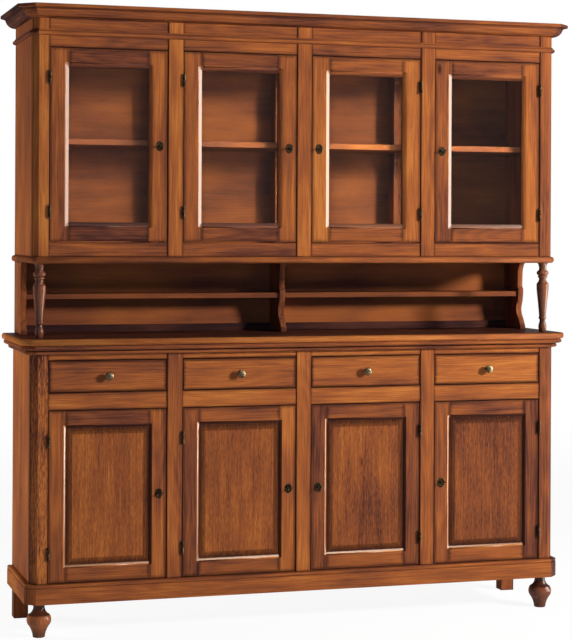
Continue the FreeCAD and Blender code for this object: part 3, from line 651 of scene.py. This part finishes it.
# Tones and glazes of the boards that show their faces
SHOWN = {
    "base_posts": ([0.55, 0.44, 0.52, 0.73, 0.59], [0.20]),
    "hutch_posts": ([0.82, 0.60, 0.73, 0.72, 0.76], [0.20]),
    "base_rails": ([0.72, 0.69, 0.70, 0.72], [0.30]),
    "hutch_rails": (HUTCH_RAILS, [0.30]),
    "side_panels": ([0.66], [0.15]),
    "hutch_top": ([0.50], [0.10]),
    "niche_brackets": ([0.50], [0.30]),
    "rear_feet": ([0.80, 0.46], [0.20]),
}
# Tones of the inner boards. The niche has a shelf and a rail on each side of the bracket, the rails darker
HIDDEN = {
    "base_floor": [0.50],
    "back_panels": [0.62],
    "partitions": [0.50],
    "shelves": [0.55],
    "niche_shelves": [0.50, 0.10],
    "drawer_runners": [0.60],
}
# Tones of the lengths at the left side, left corner, front, right corner and right side. The darker right
# corners, and the darker left sides of the astragal and the cornice, are painted shade.
MOULDED = {
    "plinth": [0.70, 0.60, 0.67, 0.20, 0.60],
    "worktop_moulding": [0.50, 0.50, 0.62, 0.35, 0.60],
    "hutch_floor": [0.58],
    "astragal": [0.36, 0.40, 0.56, 0.35, 0.50],
    "cornice": [0.24, 0.42, 0.54, 0.35, 0.50],
}

for node, (tones, glazes) in SHOWN.items():
    piece = dressed(node, "cabinet", solid_walnut, BOARD_ARRIS, tones, glazes)
    if node == "base_posts":
        refinish(piece, rough_walnut, lambda face: face.center.x < LEFT_POST_SIDE)
worktop = dressed("worktop", "cabinet", solid_walnut, BOARD_ARRIS, WORKTOP_TONE, FAINT_GLAZE, moulded=True)
worktop_finish = worktop.data.attributes["finish"].data
for vertex in worktop.data.vertices:
    worktop_finish[vertex.index].vector[0] += WORKTOP_FADE * vertex.co.x
# The top faces of the worktop take the dark tone of painted shade
for face in worktop.data.polygons:
    if face.normal.z > UPWARD:
        for corner in face.vertices:
            worktop_finish[corner].vector[0] = WORKTOP_TOP_SHADE_TONE
for node, tones in HIDDEN.items():
    piece = dressed(node, "cabinet", inside_walnut, INSIDE_ARRIS, tones, FAINT_GLAZE, moulded=True)
    if node == "back_panels":
        refinish(piece, solid_walnut, lambda face: face.normal.y > BACKWARD)
for node, tones in MOULDED.items():
    dressed(node, "cabinet", solid_walnut, MOULDING_ARRIS, tones, FAINT_GLAZE, moulded=True)
print("carcase pieces:", 1 + len(SHOWN) + len(HIDDEN) + len(MOULDED))

# %% [markdown]
# Doors and drawers carry most of the glaze. A drawer front is one board with a dark soft border.
# A door has stiles that run its whole height, rails between them and a panel or a pane,
# so the grain turns at every joint.
# The lower panels are raised and washed brown, most of all on their slopes.
# The slopes at the left and at the foot of each door were rubbed to a gloss,
# and they catch the screens as bright lines. On the lower doors these slopes are also painted pale, a
# painted highlight.

# %% Doors and drawers
BAYS = 4
# Tones of each door's left stile, right stile, lower rail and upper rail
UPPER_TONES = [
    (0.63, 0.64, 0.20, 0.40),
    (0.65, 0.69, 0.43, 0.48),
    (0.80, 0.78, 0.52, 0.54),
    (0.41, 0.73, 0.48, 0.52),
]
LOWER_TONES = [
    (0.64, 0.64, 0.57, 0.44),
    (0.51, 0.56, 0.54, 0.52),
    (0.46, 0.42, 0.54, 0.55),
    (0.46, 0.40, 0.66, 0.52),
]
PANEL_TONES = [0.69, 0.65, 0.51, 0.52]
BEAD_TONES = 4 * (0.40,)
DOOR_ARRIS = 1.2 * MILLIMETRE
# Strength and width of the glaze at the edges of the frames and of the panels
FRAME_GLAZE = (0.55, 0.013)
PANEL_GLAZE = (0.85, 0.034)
SLOPE_TURN = 3 * MILLIMETRE
# Whether the slopes of the left stile, right stile, lower rail and upper rail were rubbed to a gloss; on
# the lower doors these slopes are also painted pale, a painted highlight
RUBBED_AND_PALE = (True, False, True, False)
# On the lower doors a rubbed slope's pale tone and thin glaze are a painted highlight
LIT_SLOPE_TONE = 0.95
LIT_SLOPE_GLAZE = 0.05
SLOPE_GLAZE = 0.85
# A glaze as wide as this is even all over, and corners nearer the front than this belong to the flat face
EVEN_WIDTH = 1
FLAT_DEPTH = 0.2 * MILLIMETRE
# Places of these finishes among a door's materials, after the solid one
RUBBED_FINISH = 1
PANEL_FINISH = 2
BORDER_FINISH = 3
# How squarely the flats of a frame, its slopes and the borders of a panel look to the front
FLAT_FACING = 0.99
SLOPE_FACING = (0.5, 0.95)
BORDER_FACING = (0.90, 0.98)
# A drawer's boards are its front, its sides, its back and its bottom
DRAWER_FRONT_TONES = [0.57, 0.72, 0.66, 0.84]
DRAWER_BOX_TONES = [0.55, 0.55, 0.55, 0.60]
DRAWER_GLAZES = [0.75, 0, 0, 0, 0]
DRAWER_GLAZE_WIDTH = 0.013
DRAWER_ARRIS = 2 * MILLIMETRE


def is_slope(face):
    return SLOPE_FACING[0] < -face.normal.y < SLOPE_FACING[1]


def is_border(face):
    return BORDER_FACING[0] < -face.normal.y < BORDER_FACING[1]


def turn_slopes(board, rubbed):
    """Turns a frame's face softly down into its slope, and marks the slope if it is to be rubbed."""
    board.normal_update()
    turns = []
    for edge in board.edges:
        from_flat = any(-face.normal.y > FLAT_FACING for face in edge.link_faces)
        if from_flat and any(is_slope(face) for face in edge.link_faces):
            turns.append(edge)
    bevel(board, turns, SLOPE_TURN, segments=4)
    board.normal_update()
    for face in board.faces:
        face.material_index = RUBBED_FINISH if rubbed and is_slope(face) else 0


def finish_slopes(board, tone, glaze):
    """Gives a frame's slopes one tone and an even glaze."""
    finish = board.verts.layers.float_vector["finish"]
    below = min(vert.co.y for vert in board.verts) + FLAT_DEPTH
    for face in filter(is_slope, board.faces):
        for vert in face.verts:
            if vert.co.y > below:
                vert[finish] = (tone, glaze, EVEN_WIDTH)


def door_leaf(node, body, tones):
    """A door's frame with rubbed slopes, painted pale on the lower doors as a painted highlight, and its
    panel or its glazing beads.
    """
    whole = bmesh.new()
    add_layers(whole)
    has_panel = node.endswith("leaf")
    for number, board in enumerate(solids_of(node)):
        in_frame = number < len(RUBBED_AND_PALE)
        is_panel = has_panel and not in_frame
        if in_frame:
            turn_slopes(board, RUBBED_AND_PALE[number])
        round_arrises(board, DOOR_ARRIS)
        glaze, glaze_width = PANEL_GLAZE if is_panel else FRAME_GLAZE
        lay_grain(board, f"{node} {number}", tones[number], glaze, glaze_width)
        if is_panel:
            for face in board.faces:
                face.material_index = BORDER_FINISH if is_border(face) else PANEL_FINISH
        # On the lower doors the rubbed slopes are painted pale, a painted highlight
        elif has_panel and RUBBED_AND_PALE[number]:
            finish_slopes(board, LIT_SLOPE_TONE, LIT_SLOPE_GLAZE)
        elif has_panel:
            finish_slopes(board, tones[number], SLOPE_GLAZE)
        pour(board, whole)
    piece = new_piece(f"{node}_wood", whole, solid_walnut, body, "walnut", node)
    finishes = (rubbed_walnut, panel_walnut, border_walnut) if has_panel else (rubbed_walnut,)
    for material in finishes:
        piece.data.materials.append(material)
    for face in piece.data.polygons:
        face.use_smooth = True
    piece.modifiers.new("flat_faces", "WEIGHTED_NORMAL")


for bay in range(BAYS):
    number = bay + 1
    drawer = f"drawer_{number}"
    drawer_tones = [DRAWER_FRONT_TONES[bay]] + DRAWER_BOX_TONES
    drawer_finish = (drawer_tones, DRAWER_GLAZES, DRAWER_GLAZE_WIDTH)
    dressed(f"{drawer}_box", drawer, solid_walnut, DRAWER_ARRIS, *drawer_finish)
    upper = f"upper_door_{number}"
    door_leaf(f"{upper}_frame", upper, UPPER_TONES[bay] + BEAD_TONES)
    lower = f"lower_door_{number}"
    door_leaf(f"{lower}_leaf", lower, LOWER_TONES[bay] + (PANEL_TONES[bay],))
print("doors and drawers:", 3 * BAYS)

# %% [markdown]
# Feet, columns and knobs were turned on a lathe, and spin is Blender's lathe.
# The outline is drawn from the foot up: a pair of shares is a straight cut to that radius and height,
# and four shares are a curve through a middle point, swept by spinning the last corner about its centre.

# %% Lathe
# Shares of the radius and of the height
FOOT = [
    (0.43, 0),
    (0.48, 0.012, 0.50, 0.05),
    (0.60, 0.19, 0.80, 0.335),
    (1.00, 0.50, 0.86, 0.665),
    (0.79, 0.675),
    (0.56, 0.76, 0.46, 0.87),
    (0.46, 1),
]
COLUMN = [
    (0.50, 0),
    (0.68, 0.075, 0.50, 0.15),
    (0.46, 0.18),
    (0.59, 0.19),
    (0.64, 0.207, 0.59, 0.224),
    (0.56, 0.232),
    (0.71, 0.38, 0.93, 0.56),
    (1.00, 0.63, 1.00, 0.70),
    (0.78, 0.722),
    (0.63, 0.755, 0.62, 0.782),
    (0.78, 0.79),
    (0.82, 0.80, 0.78, 0.81),
    (0.66, 0.817),
    (1.00, 0.852, 0.70, 0.89),
    (0.60, 0.925, 0.66, 0.955),
    (0.78, 0.985, 0.96, 1),
]
FOOT_RADIUS = 0.043
FOOT_TONES = (0.80, 0.48)
# The share of a foot's height above which it is all darkened, partly by glaze and partly as painted shade,
# and how strongly
FOOT_COLLAR = 0.65
COLLAR_GLAZE_AND_SHADE = 0.8
COLUMN_RADIUS = 0.0225
COLUMN_TONES = (0.45, 0.45)
# The darkening in the cuts, partly glaze and partly painted shade, starts at this share of the radius and
# grows with the depth of the cut up to the deepest
CUT_FROM = 0.8
CUT_GLAZE_AND_SHADE = 2
DEEPEST_CUT_DARKENING = 0.9
TURNED_SHARP = math.radians(32)
SEAM_WELD = 1e-6


def arc_centre(first, middle, last):
    """The centre of the circle through three points of the outline, and the angle that it sweeps."""
    ax, az = middle.x - first.x, middle.z - first.z
    bx, bz = last.x - first.x, last.z - first.z
    twice = 2 * (ax * bz - az * bx)
    a_square, b_square = ax * ax + az * az, bx * bx + bz * bz
    centre = first + Vector((bz * a_square - az * b_square, 0, ax * b_square - bx * a_square)) / twice
    angles = [math.atan2(point.x - centre.x, point.z - centre.z) for point in (first, middle, last)]
    sweep = (angles[2] - angles[0]) % math.tau
    if (angles[1] - angles[0]) % math.tau > sweep:
        sweep -= math.tau
    return centre, sweep


def spin_round(shape, steps):
    """Spins an outline about the upright axis, closes its seam and shades it round."""
    outline = shape.verts[:] + shape.edges[:]
    about = {"cent": (0, 0, 0), "axis": (0, 0, 1), "angle": math.tau}
    bmesh.ops.spin(shape, geom=outline, steps=steps, use_merge=True, **about)
    bmesh.ops.remove_doubles(shape, verts=shape.verts, dist=SEAM_WELD)
    bmesh.ops.recalc_face_normals(shape, faces=shape.faces)
    for face in shape.faces:
        face.smooth = True
    for edge in shape.edges:
        edge.smooth = edge.calc_face_angle(0) < TURNED_SHARP


def turned(shares, radius, height, around=48, along=7):
    """A turned piece that stands on the origin."""
    lathe = bmesh.new()
    tip = lathe.verts.new((0, 0, 0))
    for step in shares + [(0, 1)]:
        points = [Vector((radius * r, 0, height * z)) for r, z in zip(step[0::2], step[1::2])]
        if len(points) == 2:
            centre, sweep = arc_centre(tip.co, *points)
            spun = bmesh.ops.spin(lathe, geom=[tip], cent=centre, axis=(0, 1, 0), angle=sweep, steps=along)
            tip = next(part for part in spun["geom_last"] if isinstance(part, bmesh.types.BMVert))
        else:
            corner = lathe.verts.new(points[0])
            lathe.edges.new((tip, corner))
            tip = corner
    spin_round(lathe, around)
    return lathe


def turned_pair(node, shares, radius, tones, collar=1):
    """The two turned pieces of a node, darker in the narrow cuts and above the collar, partly by glaze and
    partly as painted shade.
    """
    low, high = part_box(node)
    height = high[2] - low[2]
    whole = bmesh.new()
    add_layers(whole)
    for side, x in enumerate((low[0] + radius, high[0] - radius)):
        shape = turned(shares, radius, height)
        lay_grain(shape, f"{node} {side}", tones[side], 0, GLAZE_WIDTH, moulded=True)
        finish = shape.verts.layers.float_vector["finish"]
        for vert in shape.verts:
            share = math.hypot(vert.co.x, vert.co.y) / radius
            # The cuts and the part above the collar are darkened: partly glaze, partly painted shade
            cut = min(DEEPEST_CUT_DARKENING, CUT_GLAZE_AND_SHADE * max(0, CUT_FROM - share))
            above = vert.co.z > collar * height
            vert[finish][1] = max(cut, COLLAR_GLAZE_AND_SHADE) if above else cut
        bmesh.ops.translate(shape, verts=shape.verts, vec=(x, low[1] + radius, low[2]))
        pour(shape, whole)
    new_piece(f"{node}_turned", whole, turned_walnut, "cabinet", "walnut", node)


turned_pair("front_feet", FOOT, FOOT_RADIUS, FOOT_TONES, FOOT_COLLAR)
turned_pair("balusters", COLUMN, COLUMN_RADIUS, COLUMN_TONES)
print("turned pairs: feet and columns")

# %% [markdown]
# The knobs are cast brass with an aged brown skin.
# The hinges, escutcheons, keys and shelf pins are bronzed almost black.
# Both skins are uneven: handling has rubbed some patches brighter, and the rest stays dull.

# %% Metal finishes
BRASS_WORN = paint(188, 170, 134)
BRASS_SKIN = paint(86, 75, 57)
BRASS_SOFTNESS = 0.2
BRONZE_WORN = paint(116, 100, 76)
BRONZE_SKIN = paint(27, 22, 19)
BRONZE_SOFTNESS = 0.18
PATCH_WAVES = (160, 160, 160)
SPECK_WAVES = (900, 900, 900)
SPECK_SHARE = 0.3
SKIN_ROUGH = 0.52
WORN_SMOOTH = 0.22
METAL_RELIEF = 0.25
METAL_RELIEF_HEIGHT = 0.0003


def aged_metal(name, worn, skin, softness):
    """Metal under a skin that is worn through in patches, with edges of that softness."""
    material, start, shader = new_finish(name)
    place = start.add("ShaderNodeTexCoord", {}, {}, "Object")
    patches = place.noise(PATCH_WAVES, 3, 0.6)
    specks = place.noise(SPECK_WAVES, 2)
    mixture = patches + specks * SPECK_SHARE - SPECK_SHARE / 2
    rubbed = mixture.step(0.5 - softness, 0.5 + softness)
    connect(start.blend(rubbed, skin, worn), shader, "Base Color")
    connect(SKIN_ROUGH - rubbed * WORN_SMOOTH, shader, "Roughness")
    relief = {"Strength": METAL_RELIEF, "Distance": METAL_RELIEF_HEIGHT, "Height": patches}
    connect(start.add("ShaderNodeBump", {}, relief), shader, "Normal")
    shader.inputs["Metallic"].default_value = 1
    return material


def coat(node, material):
    """Gives its material to a CAD node that shows as it is."""
    materials = frame["nodes"][node].data.materials
    materials.clear()
    materials.append(material)


antique_brass = aged_metal("antique_brass_aged", BRASS_WORN, BRASS_SKIN, BRASS_SOFTNESS)
dark_bronze = aged_metal("dark_bronze_rubbed", BRONZE_WORN, BRONZE_SKIN, BRONZE_SOFTNESS)
coat("shelf_pins", dark_bronze)
print("metals:", antique_brass.name, dark_bronze.name)

# %% [markdown]
# The knobs, escutcheons, hinge barrels and key stems are turned as well.
# Each is made upright on the origin and then laid in its place: all but the barrels lie on their backs.
# An escutcheon is stretched upright into an oval, and a key's bow is a ring, tilted a little.

# %% Knobs, hinges, escutcheons and keys
KNOB = [
    (0.62, 0),
    (0.62, 0.08),
    (0.50, 0.14, 0.34, 0.18),
    (0.30, 0.38, 0.46, 0.50),
    (0.80, 0.54),
    (1.00, 0.72, 0.72, 0.92),
    (0.38, 0.99),
]
ESCUTCHEON = [
    (1.00, 0),
    (1.00, 0.30),
    (0.92, 0.92, 0.80, 1.00),
    (0.68, 0.92, 0.60, 0.40),
    (0.40, 0.36),
    (0.36, 0.60),
]
BARREL = [
    (0.92, 0),
    (1.00, 0.04),
    (1.00, 0.80),
    (0.90, 0.825),
    (0.60, 0.84),
    (0.78, 0.92, 0.40, 0.985),
]
# A key's stem from the lock's tongue out: it runs through the door and past a collar to the bow
STEM = [
    (0.80, 0),
    (1.00, 0.02),
    (1.00, 0.60),
    (1.50, 0.605),
    (1.55, 0.66, 1.50, 0.71),
    (1.00, 0.715),
    (1.00, 0.98),
    (0.80, 1),
]
ON_ITS_BACK = Matrix.Rotation(math.radians(90), 4, "X")
UPSIDE_DOWN = Matrix.Rotation(math.radians(180), 4, "X")
KNOB_RADIUS = 0.015
KNOB_LENGTH = 0.028
HINGE_INSET = 0.103
HINGE_HALF = 0.021
HINGE_RADIUS = 0.005
FINIAL_RADIUS = 0.003
HALF_GAP = 0.0015
LEAF_THICKNESS = 0.0012
LEAF_ARRIS = 0.2 * MILLIMETRE
PLAY = 0.0003
# The doors before this bay hang on their left and the others on their right
FIRST_RIGHT_HUNG = 2
ESCUTCHEON_HALF_WIDTH = 0.0135
ESCUTCHEON_HALF_HEIGHT = 0.018
ESCUTCHEON_THICKNESS = 0.0025
KEY_RADIUS = 0.003
KEY_BOW = 0.009
KEY_WIRE = 0.002
KEY_TILT = Matrix.Rotation(math.radians(-25), 4, "Y")
TONGUE_WIDTH = 0.012
TONGUE_THICKNESS = 0.003
TONGUE_ARRIS = 0.5 * MILLIMETRE


def set_in(whole, shape, place, turn=Matrix()):
    """Turns a shape, puts it in its place and adds it to a piece."""
    bmesh.ops.transform(shape, matrix=Matrix.Translation(place) @ turn, verts=shape.verts)
    pour(shape, whole)


def slab(low, high, arris):
    """A small metal plate between two corners."""
    plate = bmesh.new()
    bmesh.ops.create_cube(plate, size=1)
    middle = (Vector(low) + Vector(high)) / 2
    bmesh.ops.scale(plate, vec=Vector(high) - Vector(low), verts=plate.verts)
    bmesh.ops.translate(plate, vec=middle, verts=plate.verts)
    bevel(plate, plate.edges[:], arris)
    return plate


def wire_ring(radius, wire):
    """A ring of round wire that lies level about the origin."""
    hoop = bmesh.new()
    bmesh.ops.create_circle(hoop, segments=14, radius=wire)
    bmesh.ops.rotate(hoop, matrix=Matrix.Rotation(math.radians(90), 3, "X"), verts=hoop.verts)
    bmesh.ops.translate(hoop, vec=(radius, 0, 0), verts=hoop.verts)
    spin_round(hoop, steps=32)
    return hoop


def hinge_half(whole, axis, level, outward, leaf_side, leaf_back):
    """One half of a lift-off hinge: a barrel with a small finial, and its leaf in the gap."""
    barrel = turned(BARREL, HINGE_RADIUS, HINGE_HALF + FINIAL_RADIUS, around=24, along=5)
    set_in(whole, barrel, (*axis, level), Matrix() if outward > 0 else UPSIDE_DOWN)
    inner = leaf_side * HALF_GAP
    outer = leaf_side * (HALF_GAP - LEAF_THICKNESS)
    heights = sorted((level, level + outward * HINGE_HALF))
    low = (axis[0] + min(inner, outer), axis[1], heights[0])
    high = (axis[0] + max(inner, outer), leaf_back, heights[1])
    pour(slab(low, high, LEAF_ARRIS), whole)


for bay in range(BAYS):
    drawer = f"drawer_{bay + 1}"
    low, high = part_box(f"{drawer}_knob")
    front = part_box(f"{drawer}_box")[0][1]
    knob_place = ((low[0] + high[0]) / 2, front, (low[2] + high[2]) / 2)
    whole = bmesh.new()
    set_in(whole, turned(KNOB, KNOB_RADIUS, KNOB_LENGTH), knob_place, ON_ITS_BACK)
    new_piece(f"{drawer}_knob_turned", whole, antique_brass, drawer, "antique_brass", f"{drawer}_knob")

anchors = {joint["name"]: joint["pos_m"] for joint in frame["joints"] if "pos_m" in joint}
fixed_halves = bmesh.new()
for tier in ("lower", "upper"):
    for bay in range(BAYS):
        door = f"{tier}_door_{bay + 1}"
        leaf_node = f"{door}_leaf" if tier == "lower" else f"{door}_frame"
        low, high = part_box(leaf_node)
        axis = anchors[f"{door}_hinge"][:2]
        leaf_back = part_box(f"{door}_hardware")[1][1]
        door_side = 1 if bay < FIRST_RIGHT_HUNG else -1
        moving = bmesh.new()
        for level in (low[2] + HINGE_INSET, high[2] - HINGE_INSET):
            hinge_half(moving, axis, level + PLAY, 1, door_side, leaf_back)
            hinge_half(fixed_halves, axis, level, -1, -door_side, leaf_back)

        key_x, key_z = anchors[f"{door}_key_turn"][0::2]
        plate = turned(ESCUTCHEON, ESCUTCHEON_HALF_WIDTH, ESCUTCHEON_THICKNESS, around=40, along=4)
        stretch = (1, ESCUTCHEON_HALF_HEIGHT / ESCUTCHEON_HALF_WIDTH, 1)
        bmesh.ops.scale(plate, vec=stretch, verts=plate.verts)
        set_in(moving, plate, (key_x, low[1], key_z), ON_ITS_BACK)
        new_piece(f"{door}_metal", moving, dark_bronze, door, "dark_bronze", f"{door}_hardware")

        key_low, key_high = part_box(f"{door}_key")
        whole = bmesh.new()
        stem_front = key_low[1] + 2 * KEY_BOW + KEY_WIRE
        stem_back = key_high[1] - TONGUE_THICKNESS
        stem = turned(STEM, KEY_RADIUS, stem_back - stem_front, around=20, along=4)
        set_in(whole, stem, (key_x, stem_back, key_z), ON_ITS_BACK)
        set_in(whole, wire_ring(KEY_BOW, KEY_WIRE), (key_x, stem_front - KEY_BOW, key_z), KEY_TILT)
        half = TONGUE_WIDTH / 2
        tongue_low = (key_x - half, stem_back, key_z - half)
        tongue_high = (key_x + half, key_high[1], key_high[2])
        pour(slab(tongue_low, tongue_high, TONGUE_ARRIS), whole)
        new_piece(f"{door}_key_turned", whole, dark_bronze, f"{door}_lock", "dark_bronze", f"{door}_key")
new_piece("hinge_pins_turned", fixed_halves, dark_bronze, "cabinet", "dark_bronze", "hinge_pins")
print("doors with metalwork:", 2 * BAYS)

# %% [markdown]
# The panes are clear float glass, and the CAD panes already have the right shape.
# Light has to pass through them to the shelves, so rays that look for a lamp go straight through.

# %% Glass
GLASS_TINT = (0.96, 0.98, 0.97, 1)
SHADOW_TINT = (0.97, 0.98, 0.97, 1)
GLASS_IOR = 1.45

clear, start, shader = new_finish("clear_glass")
shader.inputs["Base Color"].default_value = GLASS_TINT
shader.inputs["Roughness"].default_value = 0
shader.inputs["IOR"].default_value = GLASS_IOR
shader.inputs["Transmission Weight"].default_value = 1
shadow_ray = start.add("ShaderNodeLightPath", {}, {}, "Is Shadow Ray")
open_air = start.add("ShaderNodeBsdfTransparent", {}, {"Color": SHADOW_TINT})
body_of_glass = Wire(clear.node_tree, shader.outputs["BSDF"])
pane = start.add("ShaderNodeMixShader", {}, {0: shadow_ray, 1: body_of_glass, 2: open_air})
connect(pane, clear.node_tree.nodes["Material Output"], "Surface")
for bay in range(BAYS):
    coat(f"upper_door_{bay + 1}_glass", clear)
print("panes:", BAYS)
